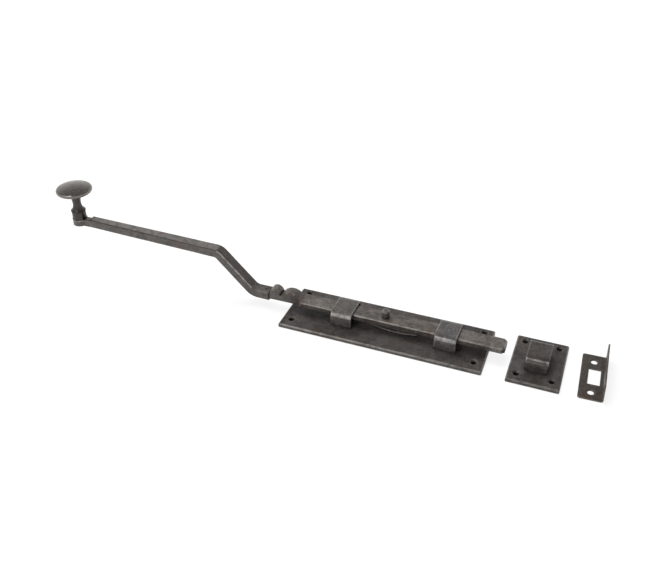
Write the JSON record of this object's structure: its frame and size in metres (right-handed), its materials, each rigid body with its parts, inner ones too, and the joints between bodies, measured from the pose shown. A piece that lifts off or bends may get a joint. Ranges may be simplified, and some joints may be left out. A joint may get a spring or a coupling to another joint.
{
  "type": "french door bolt",
  "caption": "Hand-forged sliding door bolt on a bevelled back plate, with a long cranked arm and mushroom knob, a bridged receiver plate and an angled keep.",
  "frame": {"origin": "centre of the back plate's underside, the face that lies on the door", "axes": "+X along the bolt towards its nose and the receiver, +Z away from the door"},
  "size_m": [0.5756, 0.0685, 0.0944],
  "materials": {
    "plate_steel": "dark wax over hand-forged steel, satin",
    "strap_steel": "dark wax over hand-forged steel, satin",
    "bar_steel": "dark wax over hand-forged steel, satin",
    "arm_steel": "dark wax over hand-forged steel, satin",
    "knob_steel": "dark wax over hand-forged steel, satin",
    "pin_steel": "dark wax over hand-forged steel, satin",
    "spring_steel": "dark wax over spring steel strip",
    "keep_steel": "dark wax over folded sheet, satin"
  },
  "bodies": {
    "root": {"back_plate": "plate_steel", "rear_strap": "strap_steel", "front_strap": "strap_steel", "receiver_plate": "plate_steel", "receiver_bridge": "strap_steel", "angled_keep": "keep_steel"},
    "bolt": {"bolt_bar": "bar_steel", "crank_arm": "arm_steel", "arm_pin": "pin_steel", "stop_pin": "pin_steel", "bow_spring": "spring_steel", "knob": "knob_steel"}
  },
  "joints": [
    {"name": "bolt_slide", "type": "slide", "parent": "root", "child": "bolt", "axis": [1, 0, 0], "range_m": [-0.0264, 0.035]}
  ]
}
